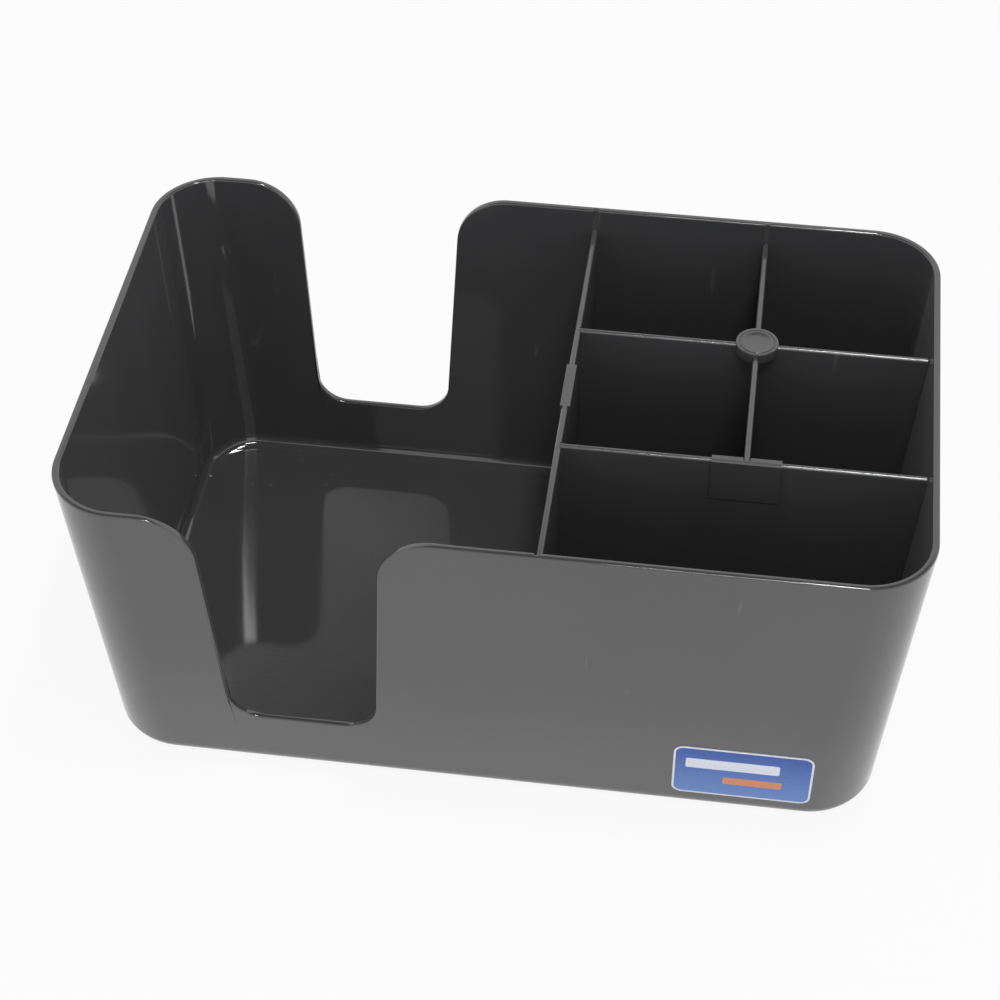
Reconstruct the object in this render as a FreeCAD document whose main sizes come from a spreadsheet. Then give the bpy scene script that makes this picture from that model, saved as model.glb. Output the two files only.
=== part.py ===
"""Counter caddy for napkins, straws and stirrers: one open moulded tray with a lift-out set of dividers.

The tray is 241 long (X), 152 wide (Y) and 106.3 high (Z). Its walls lean outwards, so trays nest. The end
at -X is one open bay for a stack of napkins, with a thumb cut-out in the front and the rear wall. At +X a
set of thin plates, held together by a round clip, drops in from above and makes five cells. The origin is
the middle of the underside, and the front, with the blank label, faces -Y.
"""

import FreeCAD, Part

import math
import os

import Sketcher

os.makedirs("parts", exist_ok=True)
doc = FreeCAD.newDocument("napkin_caddy")


# ---------------------------------------------------------------- driving dimensions, in millimetres

SIZES = {
    # tray
    "tray_length": 241.0,  # along X, over the rim
    "tray_width": 152.0,  # along Y, over the rim
    "tray_height": 106.3,
    "end_lean": 7.0,  # how far each end wall comes in between rim and underside
    "side_lean": 7.2,  # how far the front and the rear wall come in
    "wall": 2.0,  # measured level, in X or Y
    "floor_thickness": 1.8,
    "corner_radius": 20.0,  # upright outer corners
    "floor_radius": 4.0,  # inside, where the walls meet the floor
    "foot_radius": 6.0,  # outside, round the underside
    "rim_radius": 0.5,  # both edges of the rim and of the cut-outs
    # thumb cut-outs of the napkin bay
    "cutout_from_end": 67.5,  # from the rim's -X end to the middle of the cut-outs
    "cutout_floor": 22.3,  # height of their lower edge
    "cutout_low_width": 42.6,
    "cutout_rim_width": 51.6,
    "cutout_corner": 10.0,
    "cutout_flare": 16.0,
    # divider set
    "plate": 1.8,  # thickness of every divider
    "rim_drop": 7.0,  # from the rim down to the top of the dividers
    "bay_length": 132.8,  # napkin bay at the rim, from the end wall to the main divider
    "end_cell": 49.6,  # at the rim, from the +X end wall to the cross divider
    "rear_cell": 47.2,  # at the rim, from the rear wall to the rear divider
    "front_cell": 48.8,  # at the rim, from the front wall to the front divider
    "housing_depth": 0.5,  # how deep one plate is let into another
    "lap_play": 0.1,  # each side of a plate in a slot
    "lift_play": 0.3,  # between the divider set and the tray walls
    "pad_width": 2.9,  # thickened stretch at mid-length of a divider
    "pad_depth": 14.0,
    "main_pad_length": 18.0,
    "front_pad_length": 19.6,
    "plate_radius": 0.8,  # rounding of a divider's top edges
    # guide grooves in the tray, and the tongues that run in them
    "groove_width": 1.3,
    "groove_depth": 0.6,
    "groove_play": 0.2,
    # round clip over the crossing
    "clip_diameter": 12.4,
    "clip_length": 3.0,
    "clip_proud": 0.9,  # above the dividers
    "cap_diameter": 10.2,
    "cap_thickness": 0.6,
    "cap_play": 0.1,
    "cap_proud": 0.1,
    # blank label
    "label_length": 40.2,
    "label_height": 22.0,
    "label_thickness": 0.25,
    "label_corner": 3.0,
    "label_from_end": 45.2,  # from the rim's +X end to the middle of the label
    "label_centre": 18.9,  # height of its middle
}

sheet = doc.addObject("Spreadsheet::Sheet", "Sizes")
for row, (word, value) in enumerate(SIZES.items(), start=1):
    sheet.set(f"A{row}", word)
    sheet.set(f"B{row}", str(value))
    sheet.setAlias(f"B{row}", word)
doc.recompute()

# Lengths that follow from the sizes above, as formulas in the sheet's words.
FORMULAS = {
    "half_length": "tray_length / 2",
    "half_width": "tray_width / 2",
    "foot_half_length": "half_length - end_lean",
    "foot_half_width": "half_width - side_lean",
    # the inner faces at floor level
    "floor_share": "(tray_height - floor_thickness) / tray_height",
    "floor_half_length": "half_length - wall - end_lean * floor_share",
    "floor_half_width": "half_width - wall - side_lean * floor_share",
    "rim_half_length": "half_length - wall",
    "rim_half_width": "half_width - wall",
    # the inner faces at the top of the dividers
    "plate_top": "tray_height - rim_drop",
    "top_share": "rim_drop / tray_height",
    "top_half_length": "rim_half_length - end_lean * top_share",
    "top_half_width": "rim_half_width - side_lean * top_share",
    # where the dividers stand
    "main_x": "plate / 2 + bay_length - rim_half_length",
    "cross_x": "rim_half_length - end_cell - plate / 2",
    "rear_y": "rim_half_width - rear_cell - plate / 2",
    "front_y": "front_cell + plate / 2 - rim_half_width",
    "cutout_x": "cutout_from_end - half_length",
    "cutout_reach": "cutout_rim_width / 2 + cutout_flare",
    "slot_width": "plate + 2 * lap_play",
    "tongue": "groove_depth - groove_play",
    "corner_play": "floor_radius + lift_play",
}
for row, (word, formula) in enumerate(FORMULAS.items(), start=len(SIZES) + 1):
    sheet.set(f"A{row}", word)
    sheet.set(f"B{row}", "=" + formula)
    sheet.setAlias(f"B{row}", word)
doc.recompute()


def size(word):
    return float(sheet.get(word))


def cells(formula):
    """The same formula with every word of the sheet written as Sizes.word, as a bound property needs it."""
    words = sorted([*SIZES, *FORMULAS], key=len, reverse=True)
    parts = []
    token = ""
    for letter in formula + " ":
        if letter.isalnum() or letter == "_":
            token += letter
            continue
        parts.append(f"Sizes.{token}" if token in words else token)
        parts.append(letter)
        token = ""
    return "".join(parts).strip()


# ---------------------------------------------------------------- sketches and features


def new_body(label):
    body = doc.addObject("PartDesign::Body", label)
    body.Label = label
    return body


def plane(body, role):
    return next(feature for feature in body.Origin.OriginFeatures if feature.Role == role)


def new_sketch(body, name, role, height="0"):
    """A sketch on one of the body's own planes, moved along that plane's normal by a bound height."""
    sketch = body.newObject("Sketcher::SketchObject", name)
    sketch.AttachmentSupport = [(plane(body, role), "")]
    sketch.MapMode = "FlatFace"
    sketch.setExpression("AttachmentOffset.Base.z", cells(height))
    return sketch


def outline(sketch, corners):
    """A closed outline of straight lines and corner arcs, with every size bound to the sheet.

    Each corner is the formulas of its X and its Y, with the formula of its radius where it is rounded.
    """
    count = len(corners)
    points = [FreeCAD.Vector(evaluate(corner[0]), evaluate(corner[1]), 0) for corner in corners]
    starts = list(points)
    ends = list(points)
    arcs = {}
    for index, corner in enumerate(corners):
        if len(corner) == 3:
            radius = evaluate(corner[2])
            back = (points[index - 1] - points[index]).normalize()
            ahead = (points[(index + 1) % count] - points[index]).normalize()
            half_angle = back.getAngle(ahead) / 2
            reach = radius / math.tan(half_angle)
            middle_way = (back + ahead).normalize()
            centre = points[index] + middle_way * (radius / math.sin(half_angle))
            ends[index] = points[index] + back * reach
            starts[index] = points[index] + ahead * reach
            first, last = [math.atan2(*(point - centre)[1::-1]) for point in (ends[index], starts[index])]
            forwards = (last - first) % (2 * math.pi) < math.pi
            if not forwards:
                first, last = last, first
            round_edge = Part.Circle(centre, FreeCAD.Vector(0, 0, 1), radius)
            arcs[index] = (Part.ArcOfCircle(round_edge, first, last), 1 if forwards else 2)
    for index in range(count):
        sketch.addGeometry(Part.LineSegment(starts[index], ends[(index + 1) % count]), False)
    for index, corner in enumerate(corners):
        mark = sketch.addGeometry(Part.Point(points[index]), True)
        before = (index - 1) % count
        for kind, formula, value in zip(("DistanceX", "DistanceY"), corner, points[index]):
            place = sketch.addConstraint(Sketcher.Constraint(kind, -1, 1, mark, 1, value))
            sketch.setExpression(f"Constraints[{place}]", cells(formula))
        if index not in arcs:
            sketch.addConstraint(Sketcher.Constraint("Coincident", before, 2, mark, 1))
            sketch.addConstraint(Sketcher.Constraint("Coincident", index, 1, mark, 1))
            continue
        curve, first_end = arcs[index]
        arc = sketch.addGeometry(curve, False)
        sketch.addConstraint(Sketcher.Constraint("PointOnObject", mark, 1, before))
        sketch.addConstraint(Sketcher.Constraint("PointOnObject", mark, 1, index))
        sketch.addConstraint(Sketcher.Constraint("Tangent", before, 2, arc, first_end))
        sketch.addConstraint(Sketcher.Constraint("Tangent", index, 1, arc, 3 - first_end))
        place = sketch.addConstraint(Sketcher.Constraint("Radius", arc, evaluate(corner[2])))
        sketch.setExpression(f"Constraints[{place}]", cells(corner[2]))
    return sketch


def evaluate(formula):
    return float(doc.getObject("Sizes").evalExpression(cells(formula).replace("Sizes.", "")))


def rectangle(sketch, x_range, y_range):
    """A rectangle between two bound limits in X and two in Y."""
    (left, right), (low, high) = x_range, y_range
    return outline(sketch, [(left, low), (right, low), (right, high), (left, high)])


def circle(sketch, radius):
    round_edge = Part.Circle(FreeCAD.Vector(0, 0, 0), FreeCAD.Vector(0, 0, 1), evaluate(radius))
    sketch.addGeometry(round_edge, False)
    sketch.addConstraint(Sketcher.Constraint("Coincident", 0, 3, -1, 1))
    place = sketch.addConstraint(Sketcher.Constraint("Radius", 0, evaluate(radius)))
    sketch.setExpression(f"Constraints[{place}]", cells(radius))
    return sketch


def pad(body, name, sketch, length, middle=False):
    feature = body.newObject("PartDesign::Pad", name)
    feature.Profile = sketch
    feature.Midplane = middle
    feature.setExpression("Length", cells(length))
    doc.recompute()
    return feature


def pocket(body, name, sketch, length, middle=False, reverse=False):
    """A pocket, with the check that it did take something away."""
    before = body.Shape.Volume
    feature = body.newObject("PartDesign::Pocket", name)
    feature.Profile = sketch
    feature.Midplane = middle
    feature.Reversed = reverse
    feature.setExpression("Length", cells(length))
    doc.recompute()
    if feature.Shape.Volume >= before:
        raise RuntimeError(f"{name} cuts nothing")
    return feature


def wedge(body, kind, name, heights, low, high):
    """A block with four leaning sides between two heights. low and high are half sizes in X and Y."""
    feature = body.newObject(f"PartDesign::{kind}Wedge", name)
    feature.AttachmentSupport = [(plane(body, "XZ_Plane"), "")]
    feature.MapMode = "FlatFace"
    bound = {
        "Ymin": heights[0],
        "Ymax": heights[1],
        "Xmin": f"-({low[0]})",
        "Xmax": low[0],
        "Zmin": f"-({low[1]})",
        "Zmax": low[1],
        "X2min": f"-({high[0]})",
        "X2max": high[0],
        "Z2min": f"-({high[1]})",
        "Z2max": high[1],
    }
    for word, formula in bound.items():
        setattr(feature, word, evaluate(formula))
        feature.setExpression(word, cells(formula))
    doc.recompute()
    return feature


def fillet(body, name, radius, wanted):
    """Rounds every edge of the body's last feature whose two ends and middle pass the test."""
    base = body.Tip
    names = []
    for index, edge in enumerate(base.Shape.Edges, start=1):
        if len(edge.Vertexes) == 2 and wanted(edge, edge.Vertexes[0].Point, edge.Vertexes[1].Point):
            names.append(f"Edge{index}")
    if not names:
        raise RuntimeError(f"{name} found no edge")
    feature = body.newObject("PartDesign::Fillet", name)
    feature.Base = (base, names)
    feature.setExpression("Radius", cells(radius))
    doc.recompute()
    return feature


def near(first, second):
    return abs(first - second) < 0.01


# ---------------------------------------------------------------- tray
# One moulding with leaning walls. The cavity is a second leaning block, so wall and floor are set apart.

tray = new_body("caddy_tray")
wedge(
    tray,
    "Additive",
    "tray_block",
    ("0", "tray_height"),
    ("foot_half_length", "foot_half_width"),
    ("half_length", "half_width"),
)
wedge(
    tray,
    "Subtractive",
    "cavity",
    ("floor_thickness", "tray_height"),
    ("floor_half_length", "floor_half_width"),
    ("rim_half_length", "rim_half_width"),
)


def upright(foot):
    """The four corner edges of a leaning block that stands at one height."""
    return lambda edge, a, b: near(min(a.z, b.z), foot) and abs(a.z - b.z) > size("tray_height") / 2


def level_at(height):
    """The edges that lie at one height."""
    return lambda edge, a, b: near(a.z, height) and near(b.z, height)


fillet(tray, "inner_corners", "corner_radius - wall", upright(size("floor_thickness")))
fillet(tray, "outer_corners", "corner_radius", upright(0))
fillet(tray, "floor_rounding", "floor_radius", level_at(size("floor_thickness")))
fillet(tray, "foot_rounding", "foot_radius", level_at(0))

# The two thumb cut-outs are one straight cut through the front and the rear wall.
cutout = new_sketch(tray, "cutout", "XZ_Plane")
above = "tray_height + wall"
outline(
    cutout,
    [
        ("cutout_x - cutout_low_width / 2", "cutout_floor", "cutout_corner"),
        ("cutout_x + cutout_low_width / 2", "cutout_floor", "cutout_corner"),
        ("cutout_x + cutout_rim_width / 2", "tray_height", "cutout_flare"),
        ("cutout_x + cutout_reach", "tray_height"),
        ("cutout_x + cutout_reach", above),
        ("cutout_x - cutout_reach", above),
        ("cutout_x - cutout_reach", "tray_height"),
        ("cutout_x - cutout_rim_width / 2", "tray_height", "cutout_flare"),
    ],
)
pocket(tray, "thumb_cutouts", cutout, "2 * tray_width", middle=True)


def edge_of_rim(edge, a, b):
    """The long edges of the rim and of the cut-outs, not the ones that run through the wall."""
    through = near(a.x, b.x) and near(a.z, b.z) and near(abs(a.y - b.y), size("wall"))
    on_top = level_at(size("tray_height"))(edge, a, b)
    lowest = min(a.z, b.z) - size("cutout_floor")
    farthest = max(abs(a.x - size("cutout_x")), abs(b.x - size("cutout_x")))
    in_cutout = (lowest > 0 or near(lowest, 0)) and farthest < size("cutout_reach")
    return (on_top or in_cutout) and not through


fillet(tray, "rim_rounding", "rim_radius", edge_of_rim)



def inner_width_at(height):
    """Half the width between the inner faces of the front and the rear wall."""
    return f"rim_half_width - side_lean * (tray_height - ({height})) / tray_height"


# Guide grooves, open at the rim: for the main divider in both long walls, for the cross divider in the
# rear wall.
groove_foot = "floor_thickness + floor_radius"
groove_low = inner_width_at(groove_foot) + " + groove_depth"
groove_high = inner_width_at(above) + " + groove_depth"
main_groove = new_sketch(tray, "main_groove", "YZ_Plane", "main_x")
outline(
    main_groove,
    [
        (f"-({groove_low})", groove_foot),
        (groove_low, groove_foot),
        (groove_high, above),
        (f"-({groove_high})", above),
    ],
)
pocket(tray, "main_grooves", main_groove, "groove_width", middle=True)
cross_groove = new_sketch(tray, "cross_groove", "YZ_Plane", "cross_x")
outline(
    cross_groove,
    [("0", groove_foot), (groove_low, groove_foot), (groove_high, above), ("0", above)],
)
pocket(tray, "cross_groove_cut", cross_groove, "groove_width", middle=True)


# ---------------------------------------------------------------- dividers
# Flat plates that stand on the tray floor. Their outer ends follow the leaning walls, a little clear of
# them, and their lower corners clear the rounding of the floor. Their top edges are rounded.


def upright_plate(body, name, role, place, corners):
    """A plate of the divider thickness about one upright plane, with its outline in that plane."""
    face = outline(new_sketch(body, name + "_outline", role, place), corners)
    return pad(body, name, face, "plate", middle=True)


def round_top(body, along):
    """Rounds the two long top edges of a plate that runs along X or Y."""
    across = "y" if along == "x" else "x"

    def top_edge(edge, a, b):
        level = near(a.z, size("plate_top")) and near(b.z, size("plate_top"))
        return level and near(getattr(a, across), getattr(b, across))

    fillet(body, body.Label + "_top_rounding", "plate_radius", top_edge)


def block_down(body, name, x_range, y_range, depth):
    """A block that hangs down from the top of the dividers, between bound limits."""
    foot = new_sketch(body, name + "_outline", "XY_Plane", f"plate_top - {depth}")
    return pad(body, name, rectangle(foot, x_range, y_range), depth)


def slot_down(body, name, x_range, y_range, depth):
    """A slot cut down from above the dividers, between bound limits."""
    top = new_sketch(body, name + "_outline", "XY_Plane", "plate_top + wall")
    return pocket(body, name, rectangle(top, x_range, y_range), f"{depth} + wall")


def about(middle, width):
    """The two limits of a width about its middle."""
    return (f"{middle} - ({width}) / 2", f"{middle} + ({width}) / 2")


full_depth = "plate_top"
tongue_foot = "floor_thickness + 2 * floor_radius"
tongue_width = "groove_width - 2 * groove_play"
lap_height = "(plate_top - floor_thickness) / 2"

# The main divider closes off the napkin bay. A tongue at each end runs in the tray's guide groove.
main_divider = new_body("main_divider")
low_end = "floor_half_width - lift_play"
high_end = "top_half_width - lift_play"
upright_plate(
    main_divider,
    "main_plate",
    "YZ_Plane",
    "main_x",
    [
        (f"-({low_end})", "floor_thickness", "corner_play"),
        (low_end, "floor_thickness", "corner_play"),
        (high_end, "plate_top"),
        (f"-({high_end})", "plate_top"),
    ],
)
round_top(main_divider, "y")
tongue_low = inner_width_at(tongue_foot) + " + tongue"
tongue_high = "top_half_width + tongue"
main_tongues = new_sketch(main_divider, "main_tongues_outline", "YZ_Plane", "main_x")
outline(
    main_tongues,
    [
        (f"-({tongue_low})", tongue_foot),
        (tongue_low, tongue_foot),
        (tongue_high, "plate_top"),
        (f"-({tongue_high})", "plate_top"),
    ],
)
pad(main_divider, "main_tongues", main_tongues, tongue_width, middle=True)
block_down(
    main_divider,
    "main_pad",
    about("main_x", "pad_width"),
    about("(rear_y + front_y) / 2", "main_pad_length"),
    "pad_depth",
)
housing = ("main_x + plate / 2 - housing_depth", "main_x + plate / 2 + wall")
slot_down(main_divider, "rear_housing", housing, about("rear_y", "slot_width"), full_depth)
slot_down(main_divider, "front_housing", housing, about("front_y", "slot_width"), full_depth)


def long_divider(label, place):
    """A divider that runs from its housing in the main divider to the +X end wall."""
    body = new_body(label)
    start = "main_x + plate / 2 - housing_depth"
    # The XZ plane's normal points to -Y, so the plate's place along it has the other sign.
    upright_plate(
        body,
        label + "_plate",
        "XZ_Plane",
        f"-({place})",
        [
            (start, "floor_thickness"),
            ("floor_half_length - lift_play", "floor_thickness", "corner_play"),
            ("top_half_length - lift_play", "plate_top"),
            (start, "plate_top"),
        ],
    )
    round_top(body, "x")
    return body


# The rear divider is half lapped with the cross divider: its slot is open at the top.
rear_divider = long_divider("rear_divider", "rear_y")
lap_slot = about("cross_x", "slot_width")
slot_down(rear_divider, "rear_lap", lap_slot, about("rear_y", "2 * plate"), lap_height)

# The front divider has a thickened stretch, with a housing for the end of the cross divider.
front_divider = long_divider("front_divider", "front_y")
block_down(
    front_divider,
    "front_pad",
    about("cross_x", "front_pad_length"),
    about("front_y", "pad_width"),
    "pad_depth",
)
cross_start = "front_y + plate / 2 - housing_depth"
cross_housing = (cross_start, "front_y + pad_width")
slot_down(front_divider, "cross_housing", about("cross_x", "slot_width"), cross_housing, full_depth)

# The cross divider runs from the front divider to the rear wall, where a tongue runs in a guide groove. Its
# half of the lap is open at the bottom.
cross_divider = new_body("cross_divider")
upright_plate(
    cross_divider,
    "cross_plate",
    "YZ_Plane",
    "cross_x",
    [
        (cross_start, "floor_thickness"),
        ("floor_half_width - lift_play", "floor_thickness", "corner_play"),
        ("top_half_width - lift_play", "plate_top"),
        (cross_start, "plate_top"),
    ],
)
round_top(cross_divider, "y")
cross_tongue = new_sketch(cross_divider, "cross_tongue_outline", "YZ_Plane", "cross_x")
outline(
    cross_tongue,
    [
        ("rear_y + plate", tongue_foot),
        (tongue_low, tongue_foot),
        (tongue_high, "plate_top"),
        ("rear_y + plate", "plate_top"),
    ],
)
pad(cross_divider, "cross_tongue", cross_tongue, tongue_width, middle=True)
lap_foot = new_sketch(cross_divider, "cross_lap_outline", "XY_Plane", "floor_thickness")
rectangle(lap_foot, about("cross_x", "2 * plate"), about("rear_y", "slot_width"))
pocket(cross_divider, "cross_lap", lap_foot, lap_height, reverse=True)

# ---------------------------------------------------------------- clip and cap
# The low round clip is pushed down over the crossing and holds the two plates square. A thin cap fills the
# recess in its top.

clip = new_body("crossing_clip")
clip.setExpression("Placement.Base.x", cells("cross_x"))
clip.setExpression("Placement.Base.y", cells("rear_y"))
clip_foot = "plate_top + clip_proud - clip_length"
clip_round = circle(new_sketch(clip, "clip_round", "XY_Plane", clip_foot), "clip_diameter / 2")
pad(clip, "clip_drum", clip_round, "clip_length")
arm = "clip_diameter"
side = "slot_width / 2"
cross_shape = [
    (f"-{arm}", f"-{side}"),
    (f"-{side}", f"-{side}"),
    (f"-{side}", f"-{arm}"),
    (side, f"-{arm}"),
    (side, f"-{side}"),
    (arm, f"-{side}"),
    (arm, side),
    (side, side),
    (side, arm),
    (f"-{side}", arm),
    (f"-{side}", side),
    (f"-{arm}", side),
]
clip_cross = outline(new_sketch(clip, "clip_cross", "XY_Plane", clip_foot), cross_shape)
pocket(clip, "clip_slots", clip_cross, "clip_length - clip_proud", reverse=True)
recess = new_sketch(clip, "recess", "XY_Plane", "plate_top + clip_proud")
circle(recess, "cap_diameter / 2 + cap_play")
pocket(clip, "cap_recess", recess, "cap_thickness - cap_proud")

cap = new_body("clip_cap")
cap.setExpression("Placement.Base.x", cells("cross_x"))
cap.setExpression("Placement.Base.y", cells("rear_y"))
cap_seat = "plate_top + clip_proud + cap_proud - cap_thickness"
cap_round = circle(new_sketch(cap, "cap_round", "XY_Plane", cap_seat), "cap_diameter / 2")
pad(cap, "cap_disc", cap_round, "cap_thickness")

# ---------------------------------------------------------------- blank label
# A plain sticker flat on the leaning front wall, near its foot and its +X end.

label = new_body("blank_label")
half_x = "label_length / 2"
half_y = "label_height / 2"
sticker = new_sketch(label, "label_outline", "XY_Plane")
outline(
    sticker,
    [
        (f"-{half_x}", f"-{half_y}", "label_corner"),
        (half_x, f"-{half_y}", "label_corner"),
        (half_x, half_y, "label_corner"),
        (f"-{half_x}", half_y, "label_corner"),
    ],
)
pad(label, "label_sheet", sticker, "label_thickness")
upright_turn = FreeCAD.Rotation(FreeCAD.Vector(1, 0, 0), 90)
label.Placement = FreeCAD.Placement(FreeCAD.Vector(0, 0, 0), upright_turn)
wall_face = "side_lean * (tray_height - label_centre) / tray_height - half_width"
label.setExpression("Placement.Rotation.Angle", "90 deg + atan(" + cells("side_lean / tray_height") + ")")
label.setExpression("Placement.Base.x", cells("half_length - label_from_end"))
label.setExpression("Placement.Base.y", cells(wall_face))
label.setExpression("Placement.Base.z", cells("label_centre"))

# ---------------------------------------------------------------- checks and files

doc.recompute()
for item in doc.Objects:
    if "Invalid" in item.State or "Error" in item.State:
        raise RuntimeError(f"{item.Name} failed: {item.State}")

pieces = [item for item in doc.Objects if item.TypeId == "PartDesign::Body"]
for piece in pieces:
    if piece.Shape.isNull() or not piece.Shape.isValid() or len(piece.Shape.Solids) != 1:
        raise RuntimeError(f"{piece.Label} is not one valid solid")
for piece in pieces:
    piece.Shape.exportStep(f"parts/{piece.Label}.step")
    print(piece.Label, round(piece.Shape.Volume, 1), "mm3")
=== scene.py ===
"""Looks of a counter caddy for napkins and straws: a gloss black tray with a lift-out divider set."""

import math

import bmesh
import bpy
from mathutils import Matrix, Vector


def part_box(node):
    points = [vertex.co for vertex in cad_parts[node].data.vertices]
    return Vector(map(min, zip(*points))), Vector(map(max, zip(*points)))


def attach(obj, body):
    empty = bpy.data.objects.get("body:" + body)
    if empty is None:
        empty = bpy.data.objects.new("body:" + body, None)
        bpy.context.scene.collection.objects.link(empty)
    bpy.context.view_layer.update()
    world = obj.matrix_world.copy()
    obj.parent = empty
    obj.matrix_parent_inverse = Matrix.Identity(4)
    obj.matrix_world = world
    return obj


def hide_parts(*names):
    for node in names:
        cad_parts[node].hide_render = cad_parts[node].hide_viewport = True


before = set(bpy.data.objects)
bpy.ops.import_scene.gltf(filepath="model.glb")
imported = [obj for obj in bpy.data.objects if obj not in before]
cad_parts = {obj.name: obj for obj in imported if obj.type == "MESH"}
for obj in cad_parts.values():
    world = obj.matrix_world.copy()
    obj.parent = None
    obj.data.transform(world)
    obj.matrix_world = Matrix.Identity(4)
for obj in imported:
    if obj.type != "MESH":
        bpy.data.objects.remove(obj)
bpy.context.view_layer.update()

MM = 0.001


# ---------------------------------------------------------------- view and light
# A white sweep under and round the caddy, seen from the front and well above. A small lamp hangs overhead
# at the right, a wide low softbox stands high in front, and the rest is light from soft surroundings.


def linear(hex_colour):
    """An sRGB hex colour as linear red, green, blue and alpha."""
    channels = [int(hex_colour[i : i + 2], 16) / 255 for i in (1, 3, 5)]
    return tuple(c / 12.92 if c <= 0.04045 else ((c + 0.055) / 1.055) ** 2.4 for c in channels) + (1.0,)


def add_node(tree, kind, settings=None, inputs=None):
    """Adds a node with its properties. Inputs are socket values, or (node, output) pairs to link."""
    node = tree.nodes.new(kind)
    for word, value in (settings or {}).items():
        setattr(node, word, value)
    for socket, value in (inputs or {}).items():
        if isinstance(value, tuple) and isinstance(value[0], bpy.types.Node):
            tree.links.new(value[0].outputs[value[1]], node.inputs[socket])
        else:
            node.inputs[socket].default_value = value
    return node


def new_material(name):
    """A material with an empty node tree, and that tree."""
    material = bpy.data.materials.new(name)
    material.use_nodes = True
    material.node_tree.nodes.clear()
    return material, material.node_tree


YAW = math.radians(7.68)
PITCH = math.radians(44.5)
DISTANCE = 710.74 * MM
SENSOR = 36  # millimetres, as Blender counts lenses
FOCAL_SHARE = 2.35945  # focal length over sensor width
AIM_HEIGHT = 55.3 * MM
AIM_ASIDE = -4.53 * MM
AIM_UP = -2.61 * MM

ahead = Vector((-math.sin(YAW) * math.cos(PITCH), math.cos(YAW) * math.cos(PITCH), -math.sin(PITCH)))
aside = Vector((math.cos(YAW), math.sin(YAW), 0))
upward = aside.cross(ahead)
camera = bpy.data.objects.new("camera", bpy.data.cameras.new("camera"))
bpy.context.scene.collection.objects.link(camera)
camera.data.sensor_width = SENSOR
camera.data.lens = SENSOR * FOCAL_SHARE
camera.location = Vector((0, 0, AIM_HEIGHT)) + aside * AIM_ASIDE + upward * AIM_UP - ahead * DISTANCE
camera.rotation_mode = "QUATERNION"
camera.rotation_quaternion = ahead.to_track_quat("-Z", "Y")
camera.data.clip_start = 0.01
bpy.context.scene.camera = camera
bpy.context.scene.view_settings.view_transform = "Standard"


def area_lamp(name, place, aim, size, power):
    """A rectangular lamp at a place, turned to face its aim. Size is its width and height."""
    lamp = bpy.data.objects.new(name, bpy.data.lights.new(name, "AREA"))
    bpy.context.scene.collection.objects.link(lamp)
    lamp.data.shape = "RECTANGLE"
    lamp.data.size = size[0]
    lamp.data.size_y = size[1]
    lamp.data.energy = power
    lamp.location = place
    lamp.rotation_mode = "QUATERNION"
    lamp.rotation_quaternion = (Vector(aim) - Vector(place)).to_track_quat("-Z", "Y")


area_lamp("overhead_strip", (0.165, 0, 1.1), (0.165, 0, 0), (0.09, 0.19), 3.3)
area_lamp("front_softbox", (0.14, -0.54, 1.13), (-0.1, 0.07, 0.09), (0.34, 0.08), 2.9)

# Mirror rays see the white sweep all round, up to SWEEP_TOP, and the dark ceiling from CEILING up.
# Scattered light comes more from the sides than from above. The camera sees plain white past the floor.
SWEEP_TOP = math.sin(math.radians(44.6))
CEILING = math.sin(math.radians(47.2))
SIDE_FILL = 1.05
TOP_FILL = 0.3
world = bpy.data.worlds.new("studio")
bpy.context.scene.world = world
world.use_nodes = True
sky = world.node_tree
sky.nodes.clear()
rays = add_node(sky, "ShaderNodeLightPath")
way = add_node(sky, "ShaderNodeTexCoord")
parts = add_node(sky, "ShaderNodeSeparateXYZ", inputs={0: (way, "Generated")})
height = add_node(
    sky,
    "ShaderNodeMapRange",
    {"interpolation_type": "SMOOTHSTEP"},
    {"Value": (parts, "Z"), "From Min": SWEEP_TOP, "From Max": CEILING, "To Min": 1.0, "To Max": 0.02},
)
room = add_node(sky, "ShaderNodeBackground", inputs={"Color": linear("#ffffff"), "Strength": (height, 0)})
fill = add_node(
    sky,
    "ShaderNodeMapRange",
    inputs={"Value": (parts, "Z"), 1: 0.2, 2: 0.9, 3: SIDE_FILL, 4: TOP_FILL},
)
dim = add_node(sky, "ShaderNodeBackground", inputs={"Color": linear("#f6f7fa"), "Strength": (fill, 0)})
white = add_node(sky, "ShaderNodeBackground", inputs={"Color": linear("#ffffff"), "Strength": 1.0})
mirrored = add_node(
    sky,
    "ShaderNodeMixShader",
    inputs={0: (rays, "Is Glossy Ray"), 1: (dim, 0), 2: (room, 0)},
)
seen = add_node(
    sky,
    "ShaderNodeMath",
    {"operation": "MAXIMUM"},
    {0: (rays, "Is Camera Ray"), 1: (rays, "Is Transmission Ray")},
)
both = add_node(sky, "ShaderNodeMixShader", inputs={0: (seen, 0), 1: (mirrored, 0), 2: (white, 0)})
add_node(sky, "ShaderNodeOutputWorld", inputs={"Surface": (both, 0)})

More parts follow.
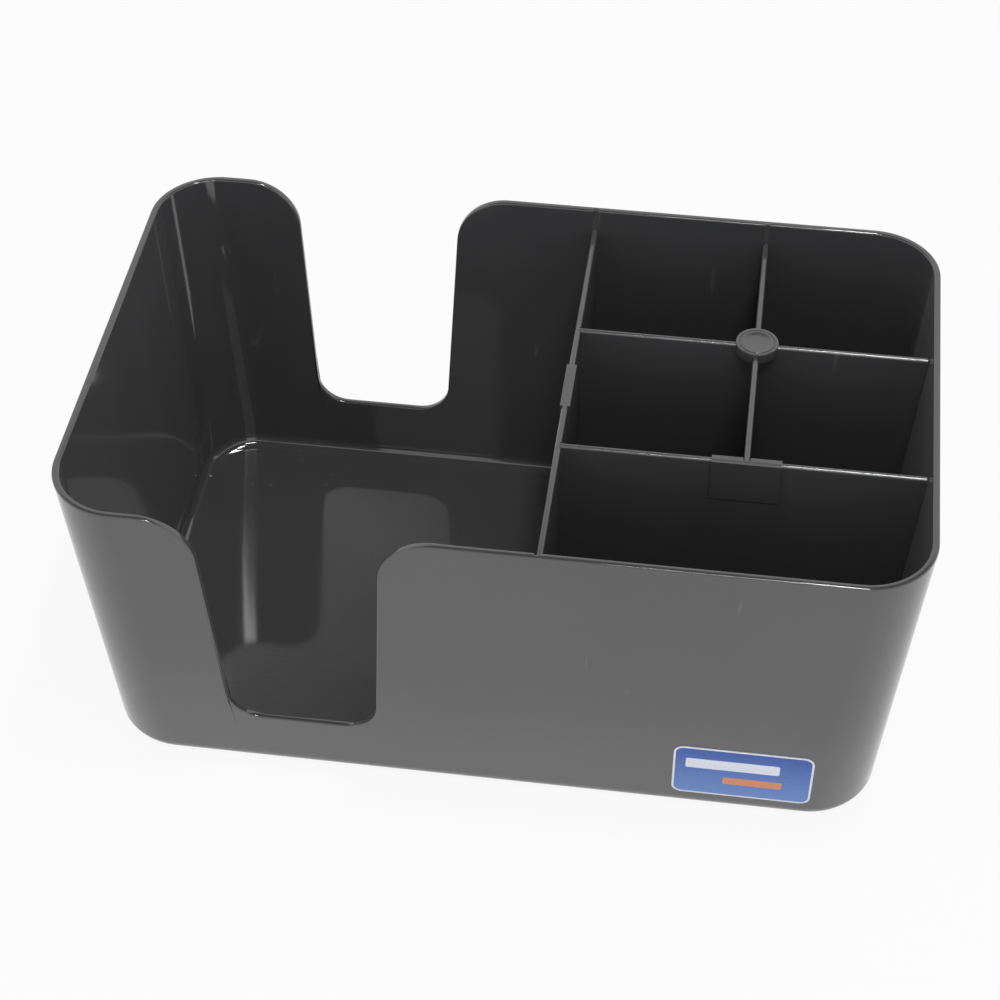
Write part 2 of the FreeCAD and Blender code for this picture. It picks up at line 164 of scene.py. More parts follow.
# Matt white paper, evenly lit: it shows and mirrors as near white, and still takes a soft shade.
FLOOR_REACH = 6.0
PAPER_GLOW = 0.9
floor_mesh = bpy.data.meshes.new("floor")
floor_corners = [(x * FLOOR_REACH, y * FLOOR_REACH, 0) for x, y in ((-1, -1), (1, -1), (1, 1), (-1, 1))]
floor_mesh.from_pydata(floor_corners, [], [(0, 1, 2, 3)])
floor = bpy.data.objects.new("floor", floor_mesh)
bpy.context.scene.collection.objects.link(floor)
paper, tree = new_material("white_paper_sweep")
rays = add_node(tree, "ShaderNodeLightPath")
seen = add_node(
    tree,
    "ShaderNodeMath",
    {"operation": "MAXIMUM"},
    {0: (rays, "Is Camera Ray"), 1: (rays, "Is Glossy Ray")},
)
share = add_node(tree, "ShaderNodeMath", {"operation": "MULTIPLY"}, {0: (seen, 0), 1: PAPER_GLOW})
matt = add_node(tree, "ShaderNodeBsdfDiffuse", inputs={"Color": linear("#f2f2f2")})
glow = add_node(tree, "ShaderNodeEmission", inputs={"Color": linear("#ffffff"), "Strength": 1.0})
mixed = add_node(tree, "ShaderNodeMixShader", inputs={0: (share, 0), 1: (matt, 0), 2: (glow, 0)})
add_node(tree, "ShaderNodeOutputMaterial", inputs={"Surface": (mixed, 0)})
floor_mesh.materials.append(paper)


# ---------------------------------------------------------------- tray
# One injection moulding in high-gloss black polystyrene. The mould is polished, so the walls mirror what is
# round them, a little wavy where the plastic shrank. Each column of faces in the mesh runs from the foot up
# to the rim or the edge of a thumb cut-out, over it, and down inside to the floor.

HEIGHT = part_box("caddy_tray")[1].z
HALF_LENGTH = 120.5 * MM
HALF_WIDTH = 76 * MM
END_LEAN = 7 * MM
SIDE_LEAN = 7.2 * MM
WALL = 2 * MM
FLOOR = 1.8 * MM
CORNER = 20 * MM
RIM_ROUND = 0.5 * MM
FOOT_ROUND = 6 * MM
FLOOR_ROUND = 4 * MM
CUT_X = 67.5 * MM - HALF_LENGTH  # the middle of both thumb cut-outs
CUT_FLOOR = 22.3 * MM
CUT_LOW = 42.6 * MM
CUT_HIGH = 51.6 * MM
CUT_CORNER = 10 * MM
CUT_FLARE = 16 * MM
GROOVE_WIDTH = 1.3 * MM
GROOVE_DEPTH = 0.6 * MM
GROOVE_SIDE = 0.03 * MM
GROOVE_FOOT = FLOOR + FLOOR_ROUND
GROOVE_STEP = 0.1 * MM
PLATE = 1.8 * MM  # the dividers' thickness
TONGUE = 0.5 * MM  # the rear divider's end, let into the main one

# Steps along a column: the foot's rounding, the outer face, each rounding of the rim, the inner face, the
# rounding of the floor. RIM_START and RIM_END are a column's first and last point on the rim.
FOOT_STEPS = 14
FACE_STEPS = 10
RIM_STEPS = 5
INNER_STEPS = 9
FLOOR_STEPS = 12
RIM_START = FOOT_STEPS + FACE_STEPS
RIM_END = RIM_START + 2 * RIM_STEPS + 2

# Steps from column to column: a cut-out's flare, side, corner and flat, the wall before and after it, a
# corner of the tray, an end wall.
FLARE_STEPS = 20
CUT_SIDE_STEPS = 8
CUT_CORNER_STEPS = 14
CUT_FLAT_STEPS = 6
BEFORE_CUT_STEPS = 4
AFTER_CUT_STEPS = 40
CORNER_STEPS = 24
END_STEPS = 16


def arc(centre, radius, first, last, steps):
    """Points of an arc, each as (x, y, outward x, outward y). Angles are in radians."""
    angles = [first + (last - first) * step / steps for step in range(steps + 1)]
    ways = [(math.cos(angle), math.sin(angle)) for angle in angles]
    return [(centre[0] + radius * x, centre[1] + radius * y, x, y) for x, y in ways]


def cutout_edge():
    """The left half of a cut-out's edge as (x, z, outward x, outward z), with x counted from its middle."""
    lean = math.atan2((CUT_HIGH - CUT_LOW) / 2, HEIGHT - CUT_FLOOR)
    flare_centre = (-CUT_HIGH / 2 - CUT_FLARE * math.tan((math.pi / 2 - lean) / 2), HEIGHT - CUT_FLARE)
    flare = arc(flare_centre, CUT_FLARE, math.pi / 2, lean, FLARE_STEPS)
    flat_end = -CUT_LOW / 2 + CUT_CORNER / math.tan((math.pi / 2 + lean) / 2)
    middle = (flat_end, CUT_FLOOR + CUT_CORNER)
    corner = arc(middle, CUT_CORNER, math.pi + lean, 1.5 * math.pi, CUT_CORNER_STEPS)
    corner = [(x, z, -nx, -nz) for x, z, nx, nz in corner]
    side = []
    for step in range(1, CUT_SIDE_STEPS):
        t = step / CUT_SIDE_STEPS
        side.append(tuple(a * (1 - t) + b * t for a, b in zip(flare[-1], corner[0])))
    flat = [(flat_end * (1 - step / CUT_FLAT_STEPS), CUT_FLOOR, 0, 1) for step in range(1, CUT_FLAT_STEPS)]
    return flare + side + corner + flat


def long_wall(grooves):
    """Columns of the front or rear wall from -X to +X, as (x, z, normal x, normal z, in a groove)."""
    flat_end = HALF_LENGTH - CORNER
    half = cutout_edge()
    columns = [(CUT_X + x, z, nx, nz, False) for x, z, nx, nz in half]
    columns += [(CUT_X, CUT_FLOOR, 0, 1, False)]
    columns += [(CUT_X - x, z, -nx, nz, False) for x, z, nx, nz in reversed(half)]
    start = columns[0][0]
    before = [-flat_end + (start + flat_end) * step / BEFORE_CUT_STEPS for step in range(BEFORE_CUT_STEPS)]
    columns = [(x, HEIGHT, 0, 1, False) for x in before] + columns
    end = columns[-1][0]
    marks = [end + (flat_end - end) * step / AFTER_CUT_STEPS for step in range(1, AFTER_CUT_STEPS + 1)]
    marks = [x for x in marks if all(abs(x - g) > GROOVE_WIDTH for g in grooves)]
    for groove in grooves:
        edge = GROOVE_WIDTH / 2
        marks += [groove - edge - GROOVE_SIDE, groove - edge, groove + edge, groove + edge + GROOVE_SIDE]
    for x in sorted(marks):
        inside = any(abs(x - g) <= GROOVE_WIDTH / 2 + 0.0001 * MM for g in grooves)
        columns.append((x, HEIGHT, 0, 1, inside))
    return columns


def tray_columns():
    """Every column round the tray, counter-clockwise from the front wall's -X end."""
    main_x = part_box("rear_divider")[0].x + TONGUE - PLATE / 2
    cross_low, cross_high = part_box("cross_divider")
    cross_x = (cross_low.x + cross_high.x) / 2
    columns = []

    def add_wall(kind, wall):
        for column in wall:
            columns.append((kind, column))

    def add_corner(turn):
        for step in range(1, CORNER_STEPS):
            columns.append(("corner", turn + math.pi / 2 * step / CORNER_STEPS))

    places = [(HALF_WIDTH - CORNER) * (2 * step / END_STEPS - 1) for step in range(END_STEPS + 1)]
    end_wall = [(along, HEIGHT, 0, 1, False) for along in places]
    add_wall("front", long_wall([main_x]))
    add_corner(-math.pi / 2)
    add_wall("right", end_wall)
    add_corner(0)
    add_wall("rear", list(reversed(long_wall([main_x, cross_x]))))
    add_corner(math.pi / 2)
    add_wall("left", list(reversed(end_wall)))
    add_corner(math.pi)
    return columns


def half_sizes(z):
    """Half the length and half the width over the leaning outer faces, at height z."""
    half_x = HALF_LENGTH - END_LEAN * (HEIGHT - z) / HEIGHT
    half_y = HALF_WIDTH - SIDE_LEAN * (HEIGHT - z) / HEIGHT
    return half_x, half_y


def wall_point(column, z, depth, along):
    """A point at height z, depth inside the outer face. along is the place on a straight wall."""
    kind, data = column
    half_x, half_y = half_sizes(z)
    if kind == "corner":
        sign_x = 1 if math.cos(data) > 0 else -1
        sign_y = 1 if math.sin(data) > 0 else -1
        radius = CORNER - depth
        x = sign_x * (half_x - CORNER) + radius * math.cos(data)
        y = sign_y * (half_y - CORNER) + radius * math.sin(data)
        return (x, y, z)
    if kind == "front":
        return (along, -(half_y - depth), z)
    if kind == "rear":
        return (along, half_y - depth, z)
    if kind == "right":
        return (half_x - depth, along, z)
    return (-(half_x - depth), along, z)


STRAIGHT = 70 * MM  # a wall's columns this near its middle stand straight down, so the grooves do too


def foot_place(column, z):
    """A wall column's place along the wall at height z: as on the rim, but drawn in near the corners."""
    kind, data = column
    if kind == "corner":
        return None
    half_x, half_y = half_sizes(z)
    if kind in ("front", "rear"):
        end, low_end = HALF_LENGTH - CORNER, half_x - CORNER
    else:
        end, low_end = HALF_WIDTH - CORNER, half_y - CORNER
    fixed = min(STRAIGHT, end / 2)
    beyond = max(0, abs(data[0]) - fixed)
    return math.copysign(min(abs(data[0]), fixed) + beyond * (low_end - fixed) / (end - fixed), data[0])


def in_groove(column):
    """Whether a column runs down inside a groove."""
    return column[0] != "corner" and column[1][4]


def column_rings():
    """For each column, its points from the edge of the underside over the rim to the edge of the floor."""
    lean = math.atan2(SIDE_LEAN, HEIGHT)
    slope = SIDE_LEAN / HEIGHT
    rings = []
    for column in tray_columns():
        top_x, top_z, out_x, out_z = (0, HEIGHT, 0, 1) if column[0] == "corner" else column[1][:4]
        points = []
        # foot rounding
        for step in range(FOOT_STEPS + 1):
            angle = math.pi / 2 - (math.pi / 2 - lean) * step / FOOT_STEPS
            z = FOOT_ROUND * (1 - math.sin(angle))
            centre = FOOT_ROUND * slope - FOOT_ROUND * math.sqrt(1 + slope * slope)
            depth = z * slope - centre - FOOT_ROUND * math.cos(angle)
            points.append(wall_point(column, z, depth, foot_place(column, z)))
        foot_z = z
        # outer face and rim
        wall_here = WALL - GROOVE_DEPTH if in_groove(column) else WALL
        rounding = arc((RIM_ROUND, RIM_ROUND), RIM_ROUND, -math.pi, -math.pi / 2, RIM_STEPS)
        edge = [(across, down) for across, down, _, _ in rounding]
        over = edge + [(wall_here / 2, 0)]
        over += [(wall_here - across, down) for across, down in reversed(edge)]
        top = [(top_x - out_x * down, top_z - out_z * down, across) for across, down in over]
        first = top[0]
        for step in range(1, FACE_STEPS):
            t = step / FACE_STEPS
            z = foot_z + (first[1] - foot_z) * t
            start = foot_place(column, foot_z)
            along = None if start is None else start + (first[0] - start) * t
            points.append(wall_point(column, z, 0, along))
        for x, z, across in top:
            points.append(wall_point(column, z, across, x))
        # inner face, with the step at the foot of a groove
        last = top[-1]
        end_z = FLOOR + FLOOR_ROUND * (1 - math.sin(lean))
        drop = GROOVE_FOOT + GROOVE_STEP - last[1]
        levels = [last[1] + drop * step / INNER_STEPS for step in range(1, INNER_STEPS + 1)]
        for z in levels + [GROOVE_FOOT]:
            t = (last[1] - z) / (last[1] - end_z)
            end = foot_place(column, end_z)
            along = None if end is None else last[0] + (end - last[0]) * t
            depth = wall_here if z > GROOVE_FOOT + GROOVE_STEP / 2 else WALL
            points.append(wall_point(column, z, depth, along))
        # floor rounding
        centre_z = FLOOR + FLOOR_ROUND
        for step in range(FLOOR_STEPS + 1):
            angle = lean + (math.pi / 2 - lean) * step / FLOOR_STEPS
            z = centre_z - FLOOR_ROUND * math.sin(angle)
            inward = centre_z * slope - FLOOR_ROUND * math.sqrt(1 + slope * slope)
            inward += FLOOR_ROUND * math.cos(angle)
            depth = WALL + z * slope - inward
            points.append(wall_point(column, z, depth, foot_place(column, z)))
        rings.append(points)
    return rings


def sharp_by_angle(mesh, degrees):
    """Smooth faces, with the edges that turn by more than an angle kept sharp."""
    limit = math.radians(degrees)
    form = bmesh.new()
    form.from_mesh(mesh)
    for face in form.faces:
        face.smooth = True
    for edge in form.edges:
        edge.smooth = edge.smooth and len(edge.link_faces) == 2 and edge.calc_face_angle(0) < limit
    form.to_mesh(mesh)
    form.free()


def make_tray():
    """The tray's mesh: the columns side by side, closed by the underside and the floor inside."""
    rings = column_rings()
    count = len(rings)
    depth = len(rings[0])
    mesh = bpy.data.meshes.new("tray")
    form = bmesh.new()
    grid = [[form.verts.new(point) for point in ring] for ring in rings]
    for i in range(count):
        a, b = grid[i], grid[(i + 1) % count]
        for j in range(depth - 1):
            form.faces.new((a[j], b[j], b[j + 1], a[j + 1]))
        for j in (RIM_START, RIM_END):
            form.edges.get((a[j], b[j])).smooth = False
    for j, flip in ((0, True), (depth - 1, False)):
        loop = [ring[j] for ring in grid]
        if flip:
            loop.reverse()
        form.faces.new(loop)
    bmesh.ops.remove_doubles(form, verts=form.verts, dist=0.0001 * MM)
    bmesh.ops.recalc_face_normals(form, faces=form.faces)
    form.to_mesh(mesh)
    form.free()
    sharp_by_angle(mesh, degrees=35)
    return mesh


MIRROR_IOR = 1.72  # polystyrene's own is 1.59: raised to match how strongly the object mirrors


def moulded_gloss(name, dark, light, roughness, wave_height, dust, painted_floor_bounce, film):
    """Moulded polystyrene: a deep, slightly wavy mirror, with haze, hairline scuffs and specks of dust, and
    painted light towards the foot of the outside, standing in for light bounced up off the floor.

    dust is the share of cells with a speck, painted_floor_bounce the strength of the light painted in at
    the foot, and film the weight of the pale film that shows at a low angle.
    """
    material, tree = new_material(name)
    place = add_node(tree, "ShaderNodeTexCoord")
    # haze left by wiping, in patches about 50 mm across
    haze = add_node(
        tree,
        "ShaderNodeTexNoise",
        inputs={"Vector": (place, "Object"), "Scale": 20.0, "Detail": 5.0},
    )
    tint = add_node(
        tree,
        "ShaderNodeMix",
        {"data_type": "RGBA"},
        {0: (haze, 0), 6: linear(dark), 7: linear(light)},
    )
    rough = add_node(
        tree,
        "ShaderNodeMapRange",
        inputs={"Value": (haze, 0), 1: 0.35, 2: 0.7, 3: roughness * 0.8, 4: roughness * 1.3},
    )
    # hairline scuffs: thin bands of a noise that is stretched along Z, only where a second noise lets them
    drawn = add_node(
        tree,
        "ShaderNodeMapping",
        inputs={0: (place, "Object"), "Scale": (1.0, 1.0, 0.12), "Rotation": (0.5, 0.3, 0)},
    )
    hair = add_node(
        tree,
        "ShaderNodeTexNoise",
        inputs={"Vector": (drawn, 0), "Scale": 260.0, "Detail": 2.0},
    )
    band = add_node(
        tree,
        "ShaderNodeMapRange",
        {"interpolation_type": "SMOOTHSTEP"},
        {"Value": (hair, 0), 1: 0.69, 2: 0.76},
    )
    spot = add_node(
        tree,
        "ShaderNodeTexNoise",
        inputs={"Vector": (place, "Object"), "Scale": 33.0, "Detail": 1.0},
    )
    zone = add_node(
        tree,
        "ShaderNodeMapRange",
        {"interpolation_type": "SMOOTHSTEP"},
        {"Value": (spot, 0), 1: 0.55, 2: 0.68},
    )
    scuff = add_node(tree, "ShaderNodeMath", {"operation": "MULTIPLY"}, {0: (band, 0), 1: (zone, 0)})
    # dust: a speck just under 1 mm across in a few of the 9 mm cells
    cells = add_node(tree, "ShaderNodeTexVoronoi", inputs={"Vector": (place, "Object"), "Scale": 110.0})
    speck = add_node(
        tree,
        "ShaderNodeMapRange",
        inputs={"Value": (cells, "Distance"), 1: 0.035, 2: 0.06, 3: 1.0, 4: 0.0},
    )
    pick = add_node(tree, "ShaderNodeSeparateColor", inputs={0: (cells, "Color")})
    few = add_node(tree, "ShaderNodeMath", {"operation": "LESS_THAN"}, {0: (pick, 0), 1: dust})
    lint = add_node(tree, "ShaderNodeMath", {"operation": "MULTIPLY"}, {0: (speck, 0), 1: (few, 0)})
    # painted light: the outside's colour is lifted towards the foot, standing in for light bounced up off
    # the floor
    shape = add_node(tree, "ShaderNodeNewGeometry")
    facing = add_node(
        tree,
        "ShaderNodeVectorMath",
        {"operation": "DOT_PRODUCT"},
        {0: (shape, "Normal"), 1: (place, "Object")},
    )
    outside = add_node(
        tree,
        "ShaderNodeMath",
        {"operation": "GREATER_THAN"},
        {0: (facing, "Value"), 1: 30 * MM},
    )
    level = add_node(tree, "ShaderNodeSeparateXYZ", inputs={0: (place, "Object")})
    low = add_node(
        tree,
        "ShaderNodeMapRange",
        {"interpolation_type": "SMOOTHSTEP"},
        {"Value": (level, "Z"), 1: 60 * MM, 2: 0.0},
    )
    painted_bounce_mask = add_node(tree, "ShaderNodeMath", {"operation": "MULTIPLY"}, {0: (low, 0), 1: (outside, 0)})
    painted_bounce = add_node(tree, "ShaderNodeMath", {"operation": "MULTIPLY"}, {0: (painted_bounce_mask, 0), 1: painted_floor_bounce})
    worn = add_node(tree, "ShaderNodeMath", {"operation": "MULTIPLY"}, {0: (scuff, 0), 1: 0.12})
    scuffs_and_painted_light = add_node(tree, "ShaderNodeMath", {"operation": "ADD"}, {0: (worn, 0), 1: (painted_bounce, 0)})
    dust_wear_and_painted_light = add_node(tree, "ShaderNodeMath", {"operation": "MAXIMUM"}, {0: (lint, 0), 1: (scuffs_and_painted_light, 0)})
    # the pale dust colour goes on at the specks and scuffs, and as painted bounce light towards the foot
    dust_and_painted_light_colour = add_node(
        tree,
        "ShaderNodeMix",
        {"data_type": "RGBA"},
        {0: (dust_wear_and_painted_light, 0), 6: (tint, 2), 7: linear("#9a9892")},
    )
    matt = add_node(
        tree,
        "ShaderNodeMath",
        {"operation": "MULTIPLY_ADD"},
        {0: (dust_wear_and_painted_light, 0), 1: 0.3, 2: (rough, 0)},
    )
    # sink marks about 80 mm across, then grain under 1 mm
    wave = add_node(
        tree,
        "ShaderNodeTexNoise",
        inputs={"Vector": (place, "Object"), "Scale": 12.0, "Detail": 1.0},
    )
    bump = add_node(
        tree,
        "ShaderNodeBump",
        inputs={"Height": (wave, 0), "Strength": 1.0, "Distance": wave_height},
    )
    fine = add_node(
        tree,
        "ShaderNodeTexNoise",
        inputs={"Vector": (place, "Object"), "Scale": 1100.0, "Detail": 2.0},
    )
    grain = add_node(
        tree,
        "ShaderNodeBump",
        inputs={"Height": (fine, 0), "Strength": 0.15, "Distance": 0.02 * MM, "Normal": (bump, 0)},
    )
    plastic = add_node(
        tree,
        "ShaderNodeBsdfPrincipled",
        inputs={
            "Base Color": (dust_and_painted_light_colour, 2),
            "Roughness": (matt, 0),
            "IOR": MIRROR_IOR,
            "Sheen Weight": film,
            "Sheen Roughness": 0.3,
            "Normal": (grain, 0),
        },
    )
    add_node(tree, "ShaderNodeOutputMaterial", inputs={"Surface": (plastic, 0)})
    return material


tray = bpy.data.objects.new("gloss_tray", make_tray())
bpy.context.scene.collection.objects.link(tray)
polished = moulded_gloss(
    "black_polystyrene_polished",
    dark="#3e3e3f",
    light="#484849",
    roughness=0.07,
    wave_height=0.1 * MM,
    dust=0.06,
    painted_floor_bounce=0.13,
    film=0.06,
)
tray.data.materials.append(polished)
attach(tray, "tray")
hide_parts("caddy_tray")


# ---------------------------------------------------------------- dividers and clip
# Thin plates in the same black plastic, from a plainer mould, so they are satin. They stand in the tray's
# grooves, joined by a round clip at their crossing, and lift out as one. Each mesh is the CAD's own shape
# with its triangles joined, and the clip's edges are eased.

CLIP_EASE = 0.12 * MM


def settled_mesh(piece):
    """Gives a piece the mesh that its modifiers make, and clears them."""
    evaluated = piece.evaluated_get(bpy.context.evaluated_depsgraph_get())
    made = bpy.data.meshes.new_from_object(evaluated)
    piece.modifiers.clear()
    piece.data = made


def joined_copy(node, name, ease):
    """A piece with a CAD node's mesh, its triangles joined into whole faces and its edges eased."""
    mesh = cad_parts[node].data.copy()
    mesh.name = name
    mesh.materials.clear()
    form = bmesh.new()
    form.from_mesh(mesh)
    bmesh.ops.remove_doubles(form, verts=form.verts, dist=0.001 * MM)
    bmesh.ops.dissolve_limit(form, angle_limit=math.radians(0.5), verts=form.verts, edges=form.edges)
    form.to_mesh(mesh)
    form.free()
    piece = bpy.data.objects.new(name, mesh)
    bpy.context.scene.collection.objects.link(piece)
    if ease:
        bevel = piece.modifiers.new("eased_edges", "BEVEL")
        bevel.width = ease
        bevel.segments = 3
        bevel.limit_method = "ANGLE"
        bevel.angle_limit = math.radians(40)
        settled_mesh(piece)
    sharp_by_angle(piece.data, degrees=38)
    return piece


satin = moulded_gloss(
    "black_polystyrene_satin",
    dark="#434344",
    light="#4e4e4f",
    roughness=0.16,
    wave_height=0.04 * MM,
    dust=0.0,
    painted_floor_bounce=0.0,
    film=0.0,
)
for node in ("main_divider", "rear_divider", "front_divider", "cross_divider"):
    plate = joined_copy(node, node.replace("divider", "plate"), ease=0)
    plate.data.materials.append(satin)
    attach(plate, "divider_set")
    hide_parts(node)
clip = joined_copy("crossing_clip", "round_clip", ease=CLIP_EASE)
clip.data.materials.append(satin)
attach(clip, "divider_set")
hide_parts("crossing_clip")


# ---------------------------------------------------------------- cap
# A low disc pressed onto the clip, in the same black plastic. Its edge is rounded by the mould, and its
# face is a little dished, so that it catches the light as a soft crescent.

CAP_EDGE = 0.2 * MM
CAP_DISH = 0.12 * MM


def disc_tree(steps=6, sides=96):
    """A disc built up from its foot: a straight side, a rounded edge in steps, then a dished face."""
    tree = bpy.data.node_groups.new("moulded_disc", "GeometryNodeTree")
    for name, kind in (
        ("Radius", "NodeSocketFloat"),
        ("Height", "NodeSocketFloat"),
        ("Edge", "NodeSocketFloat"),
        ("Dish", "NodeSocketFloat"),
        ("Place", "NodeSocketVector"),
        ("Material", "NodeSocketMaterial"),
    ):
        tree.interface.new_socket(name, in_out="INPUT", socket_type=kind)
    tree.interface.new_socket("Mesh", in_out="OUTPUT", socket_type="NodeSocketGeometry")
    given = add_node(tree, "NodeGroupInput")
    foot = add_node(
        tree,
        "GeometryNodeMeshCircle",
        {"fill_type": "NGON"},
        {"Vertices": sides, "Radius": (given, "Radius")},
    )

    def raised(base, lift, ratio):
        """The top face raised by lift and drawn in by ratio. base is the mesh and the node with its top."""
        taller = add_node(
            tree,
            "GeometryNodeExtrudeMesh",
            inputs={"Mesh": (base[0], 0), "Offset Scale": lift, "Individual": False},
        )
        if base[1]:
            tree.links.new(base[1].outputs["Top"], taller.inputs["Selection"])
        drawn = add_node(
            tree,
            "GeometryNodeScaleElements",
            inputs={"Geometry": (taller, 0), "Selection": (taller, "Top"), "Scale": ratio},
        )
        return drawn, taller

    straight = add_node(
        tree,
        "ShaderNodeMath",
        {"operation": "SUBTRACT"},
        {0: (given, "Height"), 1: (given, "Edge")},
    )
    disc = raised((foot, None), (straight, 0), 1.0)
    reach = (given, "Radius")
    for step in range(1, steps + 1):
        angle = math.pi / 2 * step / steps
        rise = math.sin(angle) - math.sin(angle - math.pi / 2 / steps)
        width = add_node(
            tree,
            "ShaderNodeMath",
            {"operation": "MULTIPLY_ADD"},
            {0: (given, "Edge"), 1: math.cos(angle) - 1, 2: (given, "Radius")},
        )
        lift = add_node(tree, "ShaderNodeMath", {"operation": "MULTIPLY"}, {0: (given, "Edge"), 1: rise})
        ratio = add_node(tree, "ShaderNodeMath", {"operation": "DIVIDE"}, {0: (width, 0), 1: reach})
        disc = raised(disc, (lift, 0), (ratio, 0))
        reach = (width, 0)
    # the face: a flat ring, then two shallow steps down to the middle
    down = add_node(tree, "ShaderNodeMath", {"operation": "MULTIPLY"}, {0: (given, "Dish"), 1: -0.5})
    disc = raised(disc, 0.0, 0.9)
    disc = raised(disc, (down, 0), 0.9)
    disc = raised(disc, (down, 0), 0.6)
    under = add_node(tree, "GeometryNodeFlipFaces", inputs={"Mesh": (foot, 0)})
    whole = add_node(tree, "GeometryNodeJoinGeometry", inputs={0: (disc[0], 0)})
    tree.links.new(under.outputs[0], whole.inputs[0])
    closed = add_node(
        tree,
        "GeometryNodeMergeByDistance",
        inputs={"Geometry": (whole, 0), "Distance": 0.001 * MM},
    )
    placed = add_node(
        tree,
        "GeometryNodeTransform",
        inputs={"Geometry": (closed, 0), "Translation": (given, "Place")},
    )
    real = add_node(tree, "GeometryNodeRealizeInstances", inputs={0: (placed, 0)})
    plastic = add_node(
        tree,
        "GeometryNodeSetMaterial",
        inputs={"Geometry": (real, 0), "Material": (given, "Material")},
    )
    add_node(tree, "NodeGroupOutput", inputs={0: (plastic, 0)})
    return tree


def grown(name, tree, sizes):
    """A plain mesh object made by a Geometry Nodes tree from its named inputs."""
    piece = bpy.data.objects.new(name, bpy.data.meshes.new(name))
    bpy.context.scene.collection.objects.link(piece)
    modifier = piece.modifiers.new(name, "NODES")
    modifier.node_group = tree
    for socket in tree.interface.items_tree:
        if socket.in_out == "INPUT":
            modifier[socket.identifier] = sizes[socket.name]
    settled_mesh(piece)
    return piece


cap_low, cap_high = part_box("clip_cap")
cap = grown(
    "round_cap",
    disc_tree(),
    {
        "Radius": (cap_high.x - cap_low.x) / 2,
        "Height": cap_high.z - cap_low.z,
        "Edge": CAP_EDGE,
        "Dish": CAP_DISH,
        "Place": ((cap_low.x + cap_high.x) / 2, (cap_low.y + cap_high.y) / 2, cap_low.z),
        "Material": satin,
    },
)
sharp_by_angle(cap.data, degrees=50)
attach(cap, "divider_set")
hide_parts("clip_cap")


# ---------------------------------------------------------------- label
# A printed vinyl sticker with rounded corners, stuck flat on the front wall. It has a white border, a blue
# field that fades, and two plain bars where lettering would be. The film buckles a little, and shines.

LABEL_CORNER = 3.0 * MM
LABEL_BORDER = 0.6 * MM
PRINT_BLUR = 0.08 * MM
BAR_CORNER = 0.6 * MM
BARS = (  # colour, middle x and z, half width and half height
    ("#e6ebf4", -3.0 * MM, 3.6 * MM, 13.5 * MM, 2.2 * MM),
    ("#dd8f63", 3.0 * MM, -3.6 * MM, 8.5 * MM, 1.6 * MM),
)


def inside_rounded(tree, x, z, half_x, half_z, radius):
    """1 inside a rounded rectangle about the origin and 0 outside it, from its x and z coordinates."""
    ways = []
    for value, half in ((x, half_x), (z, half_z)):
        size = add_node(tree, "ShaderNodeMath", {"operation": "ABSOLUTE"}, {0: value})
        past = add_node(tree, "ShaderNodeMath", {"operation": "SUBTRACT"}, {0: (size, 0), 1: half - radius})
        ways.append(add_node(tree, "ShaderNodeMath", {"operation": "MAXIMUM"}, {0: (past, 0), 1: 0.0}))
    joined = add_node(tree, "ShaderNodeCombineXYZ", inputs={"X": (ways[0], 0), "Y": (ways[1], 0)})
    out = add_node(tree, "ShaderNodeVectorMath", {"operation": "LENGTH"}, {0: (joined, 0)})
    return add_node(
        tree,
        "ShaderNodeMapRange",
        inputs={"Value": (out, "Value"), 1: radius - PRINT_BLUR, 2: radius + PRINT_BLUR, 3: 1.0, 4: 0.0},
    )


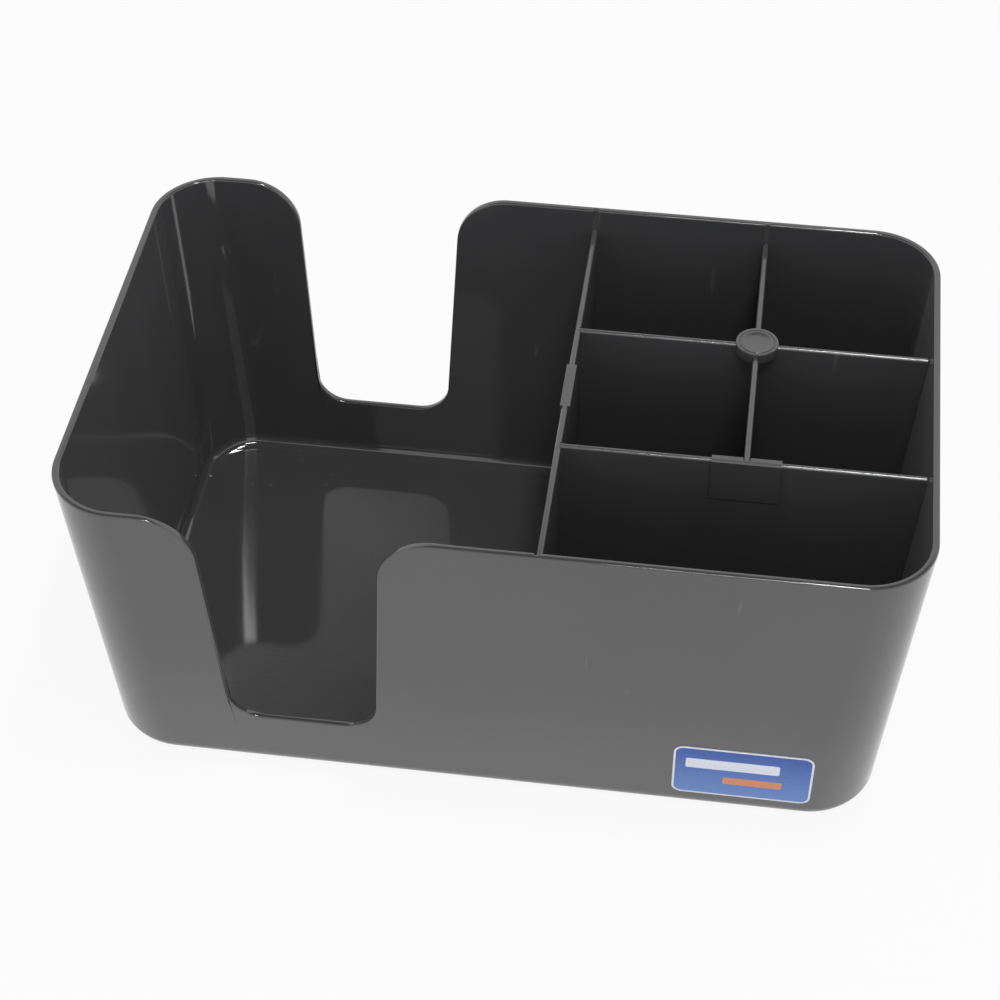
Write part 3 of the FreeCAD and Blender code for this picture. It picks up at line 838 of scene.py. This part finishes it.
label = joined_copy("blank_label", "label", ease=0)
label_low, label_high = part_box("blank_label")
label_mid = (label_low + label_high) / 2
label_half = (label_high - label_low) / 2
vinyl, tree = new_material("gloss_printed_vinyl")
place = add_node(tree, "ShaderNodeTexCoord")
centred = add_node(tree, "ShaderNodeMapping", inputs={0: (place, "Object"), "Location": tuple(-label_mid)})
axes = add_node(tree, "ShaderNodeSeparateXYZ", inputs={0: (centred, 0)})
field = inside_rounded(
    tree,
    (axes, "X"),
    (axes, "Z"),
    label_half.x - LABEL_BORDER,
    label_half.z - LABEL_BORDER,
    LABEL_CORNER - LABEL_BORDER,
)
fade = add_node(
    tree,
    "ShaderNodeMapRange",
    inputs={"Value": (axes, "Z"), 1: -label_half.z, 2: label_half.z},
)
blue = add_node(
    tree,
    "ShaderNodeMix",
    {"data_type": "RGBA"},
    {0: (fade, 0), 6: linear("#6a90cf"), 7: linear("#2450a8")},
)
ink = add_node(
    tree,
    "ShaderNodeMix",
    {"data_type": "RGBA"},
    {0: (field, 0), 6: linear("#e9edf2"), 7: (blue, 2)},
)
bars = (ink, 2)
for colour, mid_x, mid_z, half_x, half_z in BARS:
    moved = add_node(tree, "ShaderNodeMapping", inputs={0: (centred, 0), "Location": (-mid_x, 0, -mid_z)})
    there = add_node(tree, "ShaderNodeSeparateXYZ", inputs={0: (moved, 0)})
    bar = inside_rounded(tree, (there, "X"), (there, "Z"), half_x, half_z, BAR_CORNER)
    laid = add_node(tree, "ShaderNodeMix", {"data_type": "RGBA"}, {0: (bar, 0), 6: bars, 7: linear(colour)})
    bars = (laid, 2)
dots = add_node(
    tree,
    "ShaderNodeTexNoise",
    inputs={"Vector": (place, "Object"), "Scale": 1500.0, "Detail": 2.0},
)
print_grain = add_node(
    tree,
    "ShaderNodeMapRange",
    inputs={"Value": (dots, 0), 1: 0.3, 2: 0.7, 3: 0.93, 4: 1.05},
)
toned = add_node(tree, "ShaderNodeVectorMath", {"operation": "SCALE"}, {0: bars, "Scale": (print_grain, 0)})
buckle = add_node(
    tree,
    "ShaderNodeTexNoise",
    inputs={"Vector": (place, "Object"), "Scale": 120.0, "Detail": 1.0},
)
lift = add_node(
    tree,
    "ShaderNodeBump",
    inputs={"Height": (buckle, 0), "Strength": 0.6, "Distance": 0.05 * MM},
)
sheen = add_node(
    tree,
    "ShaderNodeMapRange",
    inputs={"Value": (buckle, 0), 1: 0.3, 2: 0.7, 3: 0.16, 4: 0.26},
)
glossy = add_node(
    tree,
    "ShaderNodeBsdfPrincipled",
    inputs={"Base Color": (toned, 0), "Roughness": (sheen, 0), "IOR": 1.5, "Normal": (lift, 0)},
)
add_node(tree, "ShaderNodeOutputMaterial", inputs={"Surface": (glossy, 0)})
label.data.materials.append(vinyl)
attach(label, "tray")
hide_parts("blank_label")
